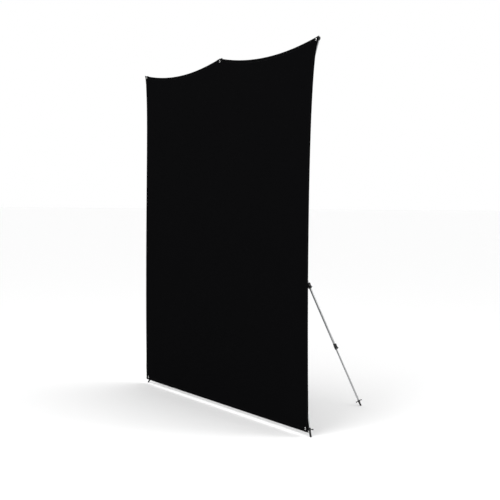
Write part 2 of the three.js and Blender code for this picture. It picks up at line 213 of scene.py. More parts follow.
@dataclass(frozen=True)
class DrawnAluminium(Finish):
    """Tube pulled through a die and clear anodised: a satin sheen, with faint lines that run along it."""

    line_stretch: float = 0.02
    cloud_mm: float = 30.0

    def dress(self, tree: bpy.types.NodeTree, shader: bpy.types.Node) -> None:
        """Adds the die lines and the cloudy anodising."""
        along = self.place(tree, (1.0, self.line_stretch, 1.0))
        lines = add_node(
            tree, "ShaderNodeTexNoise", inputs={"Vector": along, "Scale": 1 / self.grain_mm, "Detail": 6.0}
        )
        clouds = add_node(
            tree,
            "ShaderNodeTexNoise",
            inputs={"Vector": self.place(tree), "Scale": 1 / self.cloud_mm, "Detail": 3.0},
        )
        both = add_node(
            tree,
            "ShaderNodeMath",
            settings={"operation": "ADD"},
            inputs={0: lines.outputs["Fac"], 1: clouds.outputs["Fac"]},
        )
        half = add_node(
            tree, "ShaderNodeMath", settings={"operation": "MULTIPLY"}, inputs={0: both.outputs[0], 1: 0.5}
        )
        self.speckle(tree, shader, half.outputs[0], 0.1)
        normal = self.bump(tree, lines.outputs["Fac"], self.grain_depth_mm)
        tree.links.new(normal, shader.inputs["Normal"])
        shader.inputs["Anisotropic"].default_value = 0.35


@dataclass(frozen=True)
class MouldedPlastic(Finish):
    """Injection-moulded plastic with a spark-eroded skin: fine pits that break up the highlight."""

    handled_mm: float = 14.0

    def dress(self, tree: bpy.types.NodeTree, shader: bpy.types.Node) -> None:
        """Adds the pitted skin and the patches that hands have polished."""
        place = self.place(tree)
        pits = add_node(
            tree, "ShaderNodeTexVoronoi", inputs={"Vector": place, "Scale": 1 / self.grain_mm}
        )
        handled = add_node(
            tree,
            "ShaderNodeTexNoise",
            inputs={"Vector": place, "Scale": 1 / self.handled_mm, "Detail": 4.0, "Roughness": 0.6},
        )
        self.speckle(tree, shader, handled.outputs["Fac"], 0.12)
        normal = self.bump(tree, pits.outputs["Distance"], self.grain_depth_mm)
        tree.links.new(normal, shader.inputs["Normal"])


@dataclass(frozen=True)
class PressedMetal(Finish):
    """Plated metal, stamped or turned: a bright skin with hairline scratches in all directions."""

    scratch_mm: float = 0.35

    def dress(self, tree: bpy.types.NodeTree, shader: bpy.types.Node) -> None:
        """Adds the scratches and a slight dulling where hands rub."""
        place = self.place(tree)
        rub = add_node(
            tree, "ShaderNodeTexNoise", inputs={"Vector": place, "Scale": 1 / self.grain_mm, "Detail": 5.0}
        )
        scratch = add_node(
            tree,
            "ShaderNodeTexNoise",
            inputs={"Vector": place, "Scale": 1 / self.scratch_mm, "Detail": 8.0, "Distortion": 2.0},
        )
        self.speckle(tree, shader, rub.outputs["Fac"], 0.06)
        normal = self.bump(tree, scratch.outputs["Fac"], self.grain_depth_mm)
        tree.links.new(normal, shader.inputs["Normal"])


@dataclass(frozen=True)
class WarpKnit(Finish):
    """Brushed polyester warp knit: rows of tiny loops that swallow light, with a soft nap over them.

    Real loops are about 0.6 mm apart, too fine to show, so the wales are drawn at wale_mm.
    """

    wale_mm: float = 2.4
    course_mm: float = 2.0
    # How large the patches of painted sheen are: a slow light and dark drift that stands in for the nap
    # catching the light.
    sheen_drift_mm: float = 420.0
    sheen: float = 0.004

    def dress(self, tree: bpy.types.NodeTree, shader: bpy.types.Node) -> None:
        """Adds the wales, the courses and the nap as a bump. Paints the colour with painted shade in the
        loops' hollows, a painted highlight on their crests and a slow drift of painted sheen across the large
        cloth.
        """
        place = self.place(tree)
        split = add_node(tree, "ShaderNodeSeparateXYZ", inputs={"Vector": place})
        waves = []
        for output, pitch in (("X", self.wale_mm), ("Z", self.course_mm)):
            turns = add_node(
                tree,
                "ShaderNodeMath",
                settings={"operation": "MULTIPLY"},
                inputs={0: split.outputs[output], 1: 2 * math.pi / pitch},
            )
            wave = add_node(
                tree, "ShaderNodeMath", settings={"operation": "SINE"}, inputs={0: turns.outputs[0]}
            )
            waves.append(wave.outputs[0])
        loops = add_node(
            tree, "ShaderNodeMath", settings={"operation": "MULTIPLY"}, inputs={0: waves[0], 1: waves[1]}
        )
        nap = add_node(
            tree, "ShaderNodeTexNoise", inputs={"Vector": place, "Scale": 1 / self.grain_mm, "Detail": 4.0}
        )
        height = add_node(
            tree,
            "ShaderNodeMath",
            settings={"operation": "ADD"},
            inputs={0: loops.outputs[0], 1: nap.outputs["Fac"]},
        )
        # Painted sheen: a slow noise that makes the colour lighter and darker across the cloth, in place of
        # the nap's changing sheen.
        painted_sheen_drift = add_node(
            tree,
            "ShaderNodeTexNoise",
            inputs={"Vector": place, "Scale": 1 / self.sheen_drift_mm, "Detail": 3.0, "Roughness": 0.55},
        )
        # Painted shade and highlight: the colour follows the loops' height, darker in their hollows and
        # lighter on their crests.
        painted_loop_shade = add_node(
            tree,
            "ShaderNodeMapRange",
            inputs={"Value": height.outputs[0], "From Min": -1.0, "From Max": 2.0},
        )
        both = add_node(
            tree,
            "ShaderNodeMath",
            settings={"operation": "MULTIPLY"},
            inputs={0: painted_loop_shade.outputs["Result"], 1: painted_sheen_drift.outputs["Fac"]},
        )
        # The base colour gets this painted shade and painted sheen.
        self.speckle(tree, shader, both.outputs[0], 0.03)
        normal = self.bump(tree, height.outputs[0], self.grain_depth_mm)
        tree.links.new(normal, shader.inputs["Normal"])
        shader.inputs["Sheen Weight"].default_value = self.sheen
        shader.inputs["Sheen Roughness"].default_value = 0.6


class Surface(Enum):
    """The finishes of the object's pieces."""

    TUBE = DrawnAluminium("drawn_anodised_aluminium", "#a9aaab", 0.34, metallic=1.0, grain_mm=0.5)
    NYLON = MouldedPlastic("moulded_glass_filled_nylon", "#151517", 0.46, grain_mm=0.45, grain_depth_mm=0.03)
    RUBBER = MouldedPlastic("moulded_black_rubber", "#101011", 0.8, specular=0.3, grain_mm=0.8)
    NICKEL = PressedMetal(
        "pressed_nickel_plated_brass", "#d6d6d4", 0.2, metallic=1.0, grain_mm=3.0, shade=0.05
    )
    ZINC = PressedMetal("turned_zinc_plated_steel", "#a2a5a8", 0.32, metallic=1.0, grain_mm=2.0)
    KNIT = WarpKnit(
        "brushed_polyester_warp_knit", "#070708", 0.95, specular=0.0, grain_mm=1.6, grain_depth_mm=0.25
    )
    THREAD = MouldedPlastic("spun_polyester_thread", "#131315", 0.75, specular=0.2, grain_mm=0.3)


# ---- Axes read from the frame ----------------------------------------------------------------


@dataclass(frozen=True)
class Axes:
    """A piece's own axes: y runs along the arm, z along its pin, and x makes up the set."""

    origin: Vector
    along: Vector
    pin: Vector

    @property
    def out(self) -> Vector:
        """The x axis."""
        return self.along.cross(self.pin)

    def matrix(self) -> Matrix:
        """The axes as a transform into the row frame."""
        made = Matrix.Identity(4)
        for column, axis in enumerate((self.out, self.along, self.pin, self.origin)):
            for row in range(3):
                made[row][column] = axis[row]
        return made

    def shifted(self, x: float = 0.0, y: float = 0.0, z: float = 0.0) -> "Axes":
        """The same axes with the origin moved along them."""
        return Axes(self.origin + self.out * x + self.along * y + self.pin * z, self.along, self.pin)


JOINTS = {joint["name"]: joint for joint in frame["joints"]}


def arm_axes(arm: str) -> Axes:
    """An arm's axes at its hinge, with x towards the cloth."""
    fold = JOINTS[f"{arm}_fold"]
    slide = JOINTS[f"{arm}_inner_slide"]
    return Axes(Vector(fold["pos_m"]), -Vector(slide["axis"]), Vector(fold["axis"]))


def span(node: str, axes: Axes) -> tuple[float, float]:
    """Where a CAD node starts and ends along the axes' y, in metres."""
    into = axes.matrix().inverted()
    heights = [(into @ vertex.co).y for vertex in frame["nodes"][node].data.vertices]
    return min(heights), max(heights)


# ---- Mesh work -------------------------------------------------------------------------------


def eased(points: Sequence[Point], radius: float, steps: int = 3, closed: bool = False) -> list[Point]:
    """An outline with its corners rounded.

    Args:
        points: the corners.
        radius: how far from a corner the rounding starts, limited by the sides beside it.
        steps: how many sides each rounding has.
        closed: whether the last corner joins the first.

    Returns:
        The outline's points.
    """
    made: list[Point] = []
    last = len(points) - 1
    for i, here in enumerate(points):
        if not closed and i in (0, last):
            made.append(here)
            continue
        corner = Vector(here)
        before = Vector(points[i - 1]) - corner
        after = Vector(points[(i + 1) % len(points)]) - corner
        reach = min(radius, before.length * 0.45, after.length * 0.45)
        start = corner + before.normalized() * reach
        end = corner + after.normalized() * reach
        for step in range(steps + 1):
            t = step / steps
            point = start * (1 - t) ** 2 + corner * 2 * t * (1 - t) + end * t * t
            made.append((point.x, point.y))
    return made


def arc(centre: Point, radius: float, start: float, end: float, steps: int = 12) -> list[Point]:
    """Points on an arc between two angles in degrees."""
    angles = [math.radians(start + (end - start) * i / steps) for i in range(steps + 1)]
    return [(centre[0] + radius * math.cos(a), centre[1] + radius * math.sin(a)) for a in angles]


class Spin(Enum):
    """The axis that a turned shape is turned about."""

    X = Matrix(((0, 1, 0, 0), (-1, 0, 0, 0), (0, 0, 1, 0), (0, 0, 0, 1)))
    Y = Matrix.Identity(4)
    Z = Matrix(((1, 0, 0, 0), (0, 0, -1, 0), (0, 1, 0, 0), (0, 0, 0, 1)))


class Sketch:
    """The faces of one piece, gathered in its own axes."""

    def __init__(self, axes: Axes) -> None:
        """Starts an empty piece in the given axes."""
        self.axes = axes
        self.mesh = bmesh.new()

    def turned(
        self,
        profile: Sequence[Point],
        segments: int = 48,
        spin: Spin = Spin.Y,
        at: Sequence[float] = (0.0, 0.0, 0.0),
        sweep: tuple[float, float] = (0.0, 360.0),
        closed: bool = False,
        place: Matrix | None = None,
    ) -> "Sketch":
        """Adds a solid of revolution.

        Args:
            profile: (radius, height) points; with closed they ring back to the first, else they end on
                the axis.
            segments: how many sides a full turn has.
            spin: the axis it is turned about.
            at: where the shape's own origin goes.
            sweep: the angles in degrees between which it is turned; the ends of a part turn are capped.
            closed: whether the profile closes on itself.
            place: where the turned shape goes in the piece's own axes, after at and spin.

        Returns:
            The sketch, for the next call.
        """
        whole = abs(sweep[1] - sweep[0]) >= 360.0
        count = max(3, round(segments * abs(sweep[1] - sweep[0]) / 360.0))
        turn = (place or Matrix.Identity(4)) @ Matrix.Translation(Vector(at)) @ spin.value
        rings = []
        for i in range(count if whole else count + 1):
            angle = math.radians(sweep[0] + (sweep[1] - sweep[0]) * i / count)
            ring = []
            for j, (radius, height) in enumerate(profile):
                if radius < 1e-7 and rings:
                    ring.append(rings[0][j])
                    continue
                point = Vector((radius * math.cos(angle), height, -radius * math.sin(angle)))
                ring.append(self.mesh.verts.new(turn @ point))
            rings.append(ring)
        for i in range(count):
            here, there = rings[i], rings[(i + 1) % len(rings)]
            for j in range(len(profile) if closed else len(profile) - 1):
                k = (j + 1) % len(profile)
                corners = [here[j], here[k], there[k], there[j]]
                unique = list(dict.fromkeys(corners))
                if len(unique) > 2:
                    self.mesh.faces.new(unique)
        if closed and not whole:
            self.mesh.faces.new(rings[0])
            self.mesh.faces.new(list(reversed(rings[-1])))
        return self

    def prism(
        self,
        outline: Sequence[Point],
        thickness: float,
        place: Matrix | None = None,
        bevel: float = 0.0,
        taper: float = 1.0,
    ) -> "Sketch":
        """Adds an outline in XY given thickness about z = 0, with its rims bevelled.

        Args:
            outline: the corners, in order.
            thickness: the whole thickness.
            place: where it goes in the piece's own axes.
            bevel: the width of the bevel on the two rims.
            taper: the outline's scale on the upper face, for moulding draft.

        Returns:
            The sketch, for the next call.
        """
        move = place or Matrix.Identity(4)
        half = thickness / 2
        step = min(bevel, half * 0.9)
        layers = [(-half, step), (-half + step * 0.3, step * 0.3), (-half + step, 0.0)]
        layers += [(half - step, 0.0), (half - step * 0.3, step * 0.3), (half, step)]
        if step <= 0:
            layers = [(-half, 0.0), (half, 0.0)]
        corners = [Vector(point) for point in outline]
        area = sum(a.x * b.y - b.x * a.y for a, b in zip(corners, corners[1:] + corners[:1]))
        if area < 0:
            corners.reverse()
        rings = []
        for z, inset in layers:
            scale = 1 + (taper - 1) * (z + half) / thickness
            shrunk = inset_outline(corners, inset) if inset else corners
            rings.append([self.mesh.verts.new(move @ Vector((p.x * scale, p.y * scale, z))) for p in shrunk])
        for low, high in zip(rings, rings[1:]):
            for i in range(len(corners)):
                j = (i + 1) % len(corners)
                self.mesh.faces.new([low[i], low[j], high[j], high[i]])
        self.mesh.faces.new(list(reversed(rings[0])))
        self.mesh.faces.new(rings[-1])
        return self

    def cut_flat(self, point: Vector, normal: Vector) -> "Sketch":
        """Cuts away what lies past a plane of the row frame and closes the cut.

        Args:
            point: a point of the plane.
            normal: the side that is cut away.

        Returns:
            The sketch, for the next call.
        """
        into = self.axes.matrix().inverted()
        geometry = [*self.mesh.verts, *self.mesh.edges, *self.mesh.faces]
        cut = bmesh.ops.bisect_plane(
            self.mesh,
            geom=geometry,
            plane_co=into @ point,
            plane_no=(into.to_3x3() @ normal).normalized(),
            clear_outer=True,
        )
        edges = [item for item in cut["geom_cut"] if isinstance(item, bmesh.types.BMEdge)]
        if edges:
            bmesh.ops.holes_fill(self.mesh, edges=edges)
        return self

    def made(
        self,
        name: str,
        surface: Surface,
        body: str,
        slot: str,
        replaces: Iterable[str] = (),
        crease: float = 32.0,
    ) -> bpy.types.Object:
        """Turns the sketch into a piece.

        Args:
            name: the piece's name.
            surface: its finish.
            body: the CAD body it rides on.
            slot: the record's material slot; not used.
            replaces: the CAD nodes that it stands for.
            crease: edges sharper than this many degrees stay sharp.

        Returns:
            The piece.
        """
        bmesh.ops.recalc_face_normals(self.mesh, faces=self.mesh.faces)
        data = bpy.data.meshes.new(name)
        self.mesh.to_mesh(data)
        self.mesh.free()
        for face in data.polygons:
            face.use_smooth = True
        data.set_sharp_from_angle(angle=math.radians(crease))
        data.materials.append(surface.value.material())
        piece = bpy.data.objects.new(name, data)
        bpy.context.scene.collection.objects.link(piece)
        piece.matrix_world = self.axes.matrix()
        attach(piece, body)
        if replaces:
            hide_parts(*replaces)
        LOG.info("%s: %d faces, on %s", name, len(data.polygons), body)
        return piece


def inset_outline(corners: Sequence[Vector], distance: float) -> list[Vector]:
    """An anticlockwise outline drawn in by a distance, corner by corner."""
    made = []
    for i, here in enumerate(corners):
        before = (here - corners[i - 1]).normalized()
        after = (corners[(i + 1) % len(corners)] - here).normalized()
        inward = Vector((-before.y - after.y, before.x + after.x))
        if inward.length < 1e-9:
            inward = Vector((-before.y, before.x))
        inward.normalize()
        share = max(0.35, abs(inward.dot(Vector((-before.y, before.x)))))
        made.append(here + inward * (distance / share))
    return made


def laid(x: float, y: float, z: float, turn: float = 0.0, about: str = "Z") -> Matrix:
    """A place in a piece's own axes: moved, then turned about one axis by degrees."""
    return Matrix.Translation((x, y, z)) @ Matrix.Rotation(math.radians(turn), 4, about)


# ---- Arms ------------------------------------------------------------------------------------


@dataclass(frozen=True)
class TubeSize:
    """One size of telescopic tube."""

    radius: float
    wall: float = 1.0 * MM


OUTER = TubeSize(9.5 * MM)
MIDDLE = TubeSize(8.0 * MM)
INNER = TubeSize(6.5 * MM)
CLEAT_PAST_TUBE = 6.3 * MM


@dataclass
class TelescopicTube:
    """A length of drawn tube with its ends deburred."""

    axes: Axes
    size: TubeSize
    start: float
    end: float
    neck: TubeSize | None = None
    neck_at: float = 0.0
    deburr: float = 0.3 * MM

    def profile(self) -> list[Point]:
        """The wall's section, as (radius, height) points."""
        outer, bore = self.size.radius, self.size.radius - self.size.wall
        section = [(bore, self.start), (outer, self.start)]
        if self.neck:
            taper = self.neck_at + 4 * MM
            section += [(outer, self.neck_at), (self.neck.radius, taper), (self.neck.radius, self.end)]
            section += [(self.neck.radius - self.neck.wall, self.end)]
            section += [(self.neck.radius - self.neck.wall, taper), (bore, self.neck_at)]
        else:
            section += [(outer, self.end), (bore, self.end)]
        return eased(section, self.deburr, closed=True)

    def build(self, name: str, body: str, replaces: Iterable[str]) -> bpy.types.Object:
        """Makes the tube.

        Args:
            name: the piece's name.
            body: the CAD body it rides on.
            replaces: the CAD nodes it stands for.

        Returns:
            The piece.
        """
        sketch = Sketch(self.axes).turned(self.profile(), segments=56, closed=True)
        return sketch.made(name, Surface.TUBE, body, "tube", replaces)


@dataclass
class Knuckle:
    """The moulded root of an outer tube: an eye on the hinge pin, a webbed tongue and a collar."""

    axes: Axes
    eye: float = 7.5 * MM
    tongue: float = 9.6 * MM
    shoulder: float = 15.0 * MM
    collar: float = 10.4 * MM
    collar_end: float = 26.0 * MM
    pin_radius: float = 2.5 * MM
    ear_width: float = 4.5 * MM
    ear_gap: float = 0.4 * MM

    def build(self, arm: str) -> None:
        """Makes the knuckle and its pin."""
        eye = self.eye
        top = self.shoulder + 3 * MM
        outline = arc((0, 0), eye, 180, 360, 20) + [(eye, top), (-eye, top)]
        pad = self.tongue / 2
        sketch = Sketch(self.axes).prism(outline, self.tongue, bevel=0.8 * MM)
        # Side ribs and a boss round the pin, raised to the width that the ears leave.
        rim = eased(
            [
                (0, self.shoulder - 2 * MM),
                (self.collar - 1.2 * MM, self.shoulder - 2 * MM),
                (self.collar, self.shoulder),
                (self.collar, self.collar_end - 3 * MM),
                (self.collar - 0.9 * MM, self.collar_end),
                (0, self.collar_end),
            ],
            0.7 * MM,
        )
        sketch.turned(rim, segments=48)
        for sign in (-1, 1):
            sketch.prism(
                eased(
                    [(-1.2 * MM, 0), (1.2 * MM, 0), (1.8 * MM, 12 * MM), (-1.8 * MM, 12 * MM)],
                    0.5 * MM,
                    closed=True,
                ),
                self.tongue + 0.3 * MM,
                laid(sign * (eye - 2.6 * MM), self.shoulder - 9 * MM, 0),
                bevel=0.4 * MM,
            )
        end = pad + 0.2 * MM
        boss = eased([(0, -pad - 0.2 * MM), (5 * MM, -pad - 0.2 * MM), (5 * MM, end), (0, end)], 0.4 * MM)
        sketch.turned(boss, segments=32, spin=Spin.Z)
        body = f"{arm}_outer"
        sketch.made(f"{arm}_knuckle", Surface.NYLON, body, "lock_moulding")
        self.build_pin(arm)

    def build_pin(self, arm: str) -> None:
        """Makes the hinge pin, domed at one end and riveted over a washer at the other."""
        half = self.tongue / 2 + self.ear_gap + self.ear_width
        radius = self.pin_radius
        profile = eased(
            [
                (0, -half - 1.9 * MM),
                (radius + 1.2 * MM, -half - 1.4 * MM),
                (radius + 1.9 * MM, -half - 0.1 * MM),
                (radius, -half - 0.1 * MM),
                (radius, half + 0.1 * MM),
                (radius + 2.2 * MM, half + 0.1 * MM),
                (radius + 2.2 * MM, half + 0.9 * MM),
                (radius + 0.6 * MM, half + 0.9 * MM),
                (radius + 0.2 * MM, half + 1.8 * MM),
                (0, half + 1.9 * MM),
            ],
            0.25 * MM,
        )
        sketch = Sketch(self.axes).turned(profile, segments=32, spin=Spin.Z)
        sketch.made(f"{arm}_hinge_pin", Surface.ZINC, "hub", "fastener")


@dataclass
class FlipLock:
    """A split clamp at the end of a tube, drawn tight by a cam lever between two lugs."""

    arm: str
    label: str
    large: TubeSize
    small: TubeSize
    gap: float = 0.3 * MM
    wall: float = 2.8 * MM
    lug_gap: float = 8.8 * MM
    lug_thickness: float = 2.8 * MM
    lever_width: float = 8.0 * MM
    lever_reach: float = 31.0 * MM
    slot_degrees: float = 22.0

    def __post_init__(self) -> None:
        """Reads the lock's axes from the lever's joint and its node."""
        flip = JOINTS[f"{self.arm}_{self.label}_lever_flip"]
        arm = arm_axes(self.arm)
        pivot = Vector(flip["pos_m"])
        low, high = span(f"{self.arm}_{self.label}_lock", arm)
        foot = arm.origin + arm.along * ((pivot - arm.origin).dot(arm.along))
        self.pivot = Axes(pivot, arm.along, Vector(flip["axis"]))
        self.axes = Axes(arm.origin, arm.along, self.pivot.pin)
        self.low, self.high = low, high
        self.pivot_y = (foot - arm.origin).dot(arm.along)
        self.pivot_x = (pivot - foot).length
        self.body_radius = self.large.radius + self.wall

    def build(self, body: str) -> None:
        """Makes the collar, the lever, the pin and the adjusting nut.

        Args:
            body: the CAD body that the collar rides on.
        """
        self.build_collar(body)
        self.build_lever()
        self.build_pin(body)

    def build_collar(self, body: str) -> None:
        """Makes the clamp: a full socket at the back, and a split ring with lugs and ribs at the front."""
        wide, narrow = self.large.radius + self.gap, self.small.radius + self.gap
        outer, step = self.body_radius, self.low + 24 * MM
        split = self.low + 15 * MM
        lip = 1.4 * MM
        socket = eased(
            [
                (wide, self.low),
                (outer - lip, self.low),
                (outer - 0.4 * MM, self.low + 1.6 * MM),
                (outer - 0.4 * MM, self.low + 4.4 * MM),
                (outer - 1.1 * MM, self.low + 5.2 * MM),
                (outer - 1.1 * MM, split - 1.2 * MM),
                (outer - 0.2 * MM, split - 0.4 * MM),
                (outer - 0.2 * MM, split),
                (wide, split),
            ],
            0.5 * MM,
            closed=True,
        )
        clamp = eased(
            [
                (wide, split - 0.6 * MM),
                (outer, split - 0.6 * MM),
                (outer, step - 0.8 * MM),
                (outer - 0.6 * MM, step - 0.2 * MM),
                (outer - 0.6 * MM, step + 0.9 * MM),
                (outer, step + 1.5 * MM),
                (outer, self.high - 2.4 * MM),
                (outer - lip, self.high),
                (narrow, self.high),
                (narrow, step + self.gap),
                (wide, step + self.gap),
            ],
            0.4 * MM,
            closed=True,
        )
        half_slot = self.slot_degrees / 2
        sketch = Sketch(self.axes)
        sketch.turned(socket, segments=56, closed=True)
        sketch.turned(clamp, segments=64, sweep=(half_slot, 360 - half_slot), closed=True)
        sink = outer - self.wall * 0.6
        top = self.pivot_x + 4.0 * MM
        lug = [(sink, self.pivot_y - 6.5 * MM), *arc((self.pivot_x, self.pivot_y), 4.6 * MM, -60, 60, 10)]
        lug += [(sink, self.pivot_y + 6.5 * MM)]
        offset = (self.lug_gap + self.lug_thickness) / 2
        for sign in (-1, 1):
            sketch.prism(lug, self.lug_thickness, laid(0, 0, sign * offset), bevel=0.5 * MM)
            brace = eased(
                [
                    (sink, split),
                    (outer + 0.8 * MM, split + 2 * MM),
                    (top - 4 * MM, self.pivot_y - 5 * MM),
                    (sink, self.pivot_y),
                ],
                0.6 * MM,
                closed=True,
            )
            sketch.prism(brace, self.lug_thickness, laid(0, 0, sign * offset), bevel=0.5 * MM)
        for angle in (100, 140, 180, 220, 260):
            corners = [(0, 0), (1.3 * MM, 0.6 * MM), (1.3 * MM, 13 * MM), (0, 14 * MM)]
            rib = eased(corners, 0.5 * MM, closed=True)
            turn = Matrix.Rotation(math.radians(angle), 4, "Y")
            place = turn @ Matrix.Translation((outer - 1.0 * MM, split + 1.5 * MM, 0))
            sketch.prism(rib, 1.6 * MM, place, bevel=0.35 * MM)
        sketch.made(
            f"{self.arm}_{self.label}_lock_collar",
            Surface.NYLON,
            body,
            "lock_moulding",
            [f"{self.arm}_{self.label}_lock"],
        )

    def build_lever(self) -> None:
        """Makes the lever: a cam barrel, a bowed arm with a waist and three ridges for the thumb."""
        reach = self.lever_reach
        low = -reach
        profile = [
            (2.0 * MM, 1.0 * MM),
            (2.6 * MM, -4 * MM),
            (3.2 * MM, reach * -0.5),
            (4.6 * MM, low + 3 * MM),
            (5.6 * MM, low - 0.6 * MM),
            (4.4 * MM, low - 1.4 * MM),
            (2.4 * MM, low + 0.5 * MM),
            (0.9 * MM, low + 5 * MM),
            (-0.4 * MM, reach * -0.5),
            (-1.6 * MM, -5 * MM),
            (-2.2 * MM, 1.0 * MM),
        ]
        sketch = Sketch(self.pivot)
        sketch.prism(eased(profile, 1.6 * MM, 4, closed=True), self.lever_width, bevel=1.1 * MM)
        half = self.lever_width / 2
        barrel = eased([(0, -half), (3.4 * MM, -half), (3.4 * MM, half), (0, half)], 0.5 * MM)
        sketch.turned(barrel, segments=32, spin=Spin.Z)
        for i in range(3):
            y = low + (3.5 + 2.6 * i) * MM
            x = 4.7 * MM - 0.22 * i * MM
            tall = half * 0.8
            bar = eased([(0, -tall), (1.1 * MM, -tall), (1.1 * MM, tall), (0, tall)], 0.4 * MM)
            sketch.turned(bar, segments=12, spin=Spin.Z, at=(x, y, 0))
        sketch.made(
            f"{self.arm}_{self.label}_lock_lever",
            Surface.NYLON,
            f"{self.arm}_{self.label}_lever",
            "lock_moulding",
            [f"{self.arm}_{self.label}_lever"],
        )

    def build_pin(self, body: str) -> None:
        """Makes the lever's pin with its screw head and the lock nut that sets the clamp's grip.

        Args:
            body: the CAD body that it rides on.
        """
        half = self.lug_gap / 2 + self.lug_thickness
        profile = eased(
            [
                (0, -half - 1.6 * MM),
                (2.9 * MM, -half - 1.3 * MM),
                (2.9 * MM, -half),
                (1.5 * MM, -half),
                (1.5 * MM, half + 3.0 * MM),
                (1.1 * MM, half + 3.4 * MM),
                (0, half + 3.4 * MM),
            ],
            0.2 * MM,
        )
        nut = arc((0, 0), 3.1 * MM, 0, 300, 5)
        sketch = Sketch(self.pivot).turned(profile, segments=24, spin=Spin.Z)
        sketch.prism(nut, 2.2 * MM, laid(0, 0, half + 1.15 * MM), bevel=0.25 * MM)
        sketch.made(f"{self.arm}_{self.label}_lock_screw", Surface.ZINC, body, "fastener")


@dataclass
class ArmTip:
    """The end of an arm: a collar in the tube, a cleat with lipped prongs and a leg's rubber foot.

    A leg's cleat has a prong each way, and a top arm's only the front one that holds the cloth.
    """

    arm: str
    cleat_at: float
    stands: bool
    cap: float = 8.0 * MM
    cap_end: float = 6.5 * MM
    cap_back: float = 6.0 * MM
    cap_front: float = 10.0 * MM
    plug: float = 5.2 * MM
    plug_length: float = 30.0 * MM
    foot: float = 6.0 * MM
    foot_end: float = 4.5 * MM
    sole_depth: float = 3.0 * MM
    prong: float = 2.6 * MM
    lip: float = 5.1 * MM

    def __post_init__(self) -> None:
        """Reads each prong's length, the cap's length and the foot's length from the frame."""
        self.axes = arm_axes(self.arm).shifted(y=self.cleat_at)
        into = self.axes.matrix().inverted()
        points = [into @ vertex.co for vertex in frame["nodes"][f"{self.arm}_tip"].data.vertices]
        self.reach = max(point.x for point in points)
        self.back_reach = -min(point.x for point in points)
        if not self.stands:
            self.cap_front = max(point.y for point in points)
        self.foot_length = self.sole_depth - self.axes.origin.z / self.axes.along.z if self.stands else 0.0

    def build(self) -> None:
        """Makes the collar, the cleat and the foot."""
        body = f"{self.arm}_inner"
        node = [f"{self.arm}_tip"]
        self.build_collar().made(f"{self.arm}_tip_collar", Surface.NYLON, body, "tip_moulding", node)
        self.build_cleat().made(f"{self.arm}_tip_cleat", Surface.NYLON, body, "tip_moulding", node)
        if self.stands:
            foot = self.build_foot().cut_flat(Vector((0, 0, 0)), Vector((0, 0, -1)))
            foot.made(f"{self.arm}_tip_foot", Surface.RUBBER, body, "foot_rubber", node)

    def build_collar(self) -> Sketch:
        """The collar: a plug with barbs, a grooved shoulder on the tube's end and a boss for the cleat."""
        cap, back, front, plug = self.cap, -self.cap_back, self.cap_front, self.plug
        inside = -self.plug_length
        profile = [(0, inside), (plug - 0.8 * MM, inside), (plug, 3 * MM - self.plug_length)]
        for barb in range(3):
            y = back - (16 - 5 * barb) * MM
            profile += [(plug, y), (plug - 0.5 * MM, y + 0.4 * MM)]
            profile += [(plug - 0.5 * MM, y + 2 * MM), (plug, y + 2.4 * MM)]
        profile += [(plug, back), (cap - 0.5 * MM, back), (cap, back + 0.8 * MM)]
        for groove in (back + 2 * MM, back + 4.2 * MM):
            profile += [(cap, groove), (cap - 0.5 * MM, groove + 0.3 * MM)]
            profile += [(cap - 0.5 * MM, groove + 0.9 * MM), (cap, groove + 1.2 * MM)]
        profile += [(cap, front - 2.4 * MM), (self.cap_end, front - 0.2 * MM)]
        profile += [(self.cap_end * 0.5, front), (0, front)]
        sketch = Sketch(self.axes).turned(eased(profile, 0.35 * MM), segments=48)
        boss = [(0, -cap - 1.6 * MM), (3.8 * MM, -cap - 1.6 * MM), (5.0 * MM, 0), (3.8 * MM, cap + 1.6 * MM)]
        return sketch.turned(eased([*boss, (0, cap + 1.6 * MM)], 0.7 * MM), segments=36, spin=Spin.X)

    def build_cleat(self) -> Sketch:
        """The cleat: a bar across the arm that swells into a lip at each end, so that a grommet stays on.

        A top arm's bar has no rear end: it stops inside the boss.
        """
        front = self.prong_profile(self.reach)
        if self.stands:
            back = [(r, -y) for r, y in reversed(self.prong_profile(self.back_reach))]
        else:
            back = [(0, -6 * MM), (self.prong, -6 * MM)]
        return Sketch(self.axes).turned(eased(back + front, 0.45 * MM), segments=32, spin=Spin.X)

    def prong_profile(self, reach: float) -> list[tuple[float, float]]:
        """One prong's outline as (radius, distance from the arm's axis), from its root to its lipped end.

        Args:
            reach: How far the prong's end is from the arm's axis.

        Returns:
            The outline's corners.
        """
        prong, lip = self.prong, self.lip
        outline = [(prong + 0.6 * MM, 9 * MM), (prong, 12 * MM), (prong, reach - 4.6 * MM)]
        outline += [(prong + 0.4 * MM, reach - 3.2 * MM), (lip, reach - 2.6 * MM), (lip, reach - 0.9 * MM)]
        return outline + [(lip - 0.9 * MM, reach), (0, reach)]

    def build_foot(self) -> Sketch:
        """The foot: a rubber boot with rings at its root and a rounded end."""
        foot, start, end = self.foot, self.cap_front - 1.5 * MM, self.foot_length
        profile = [(0, start), (foot - 0.4 * MM, start), (foot + 0.5 * MM, start + 1.4 * MM)]
        for ring in range(3):
            y = start + (3.6 + 3.6 * ring) * MM
            profile += [(foot + 0.2 * MM, y), (foot - 0.7 * MM, y + 0.5 * MM)]
            profile += [(foot - 0.7 * MM, y + 1.4 * MM), (foot + 0.2 * MM, y + 1.9 * MM)]
        profile += [(foot, end - 9 * MM), (foot - 0.4 * MM, end - 4 * MM)]
        profile += [(self.foot_end, end - 0.8 * MM), (0, end)]
        return Sketch(self.axes).turned(eased(profile, 0.7 * MM), segments=44)


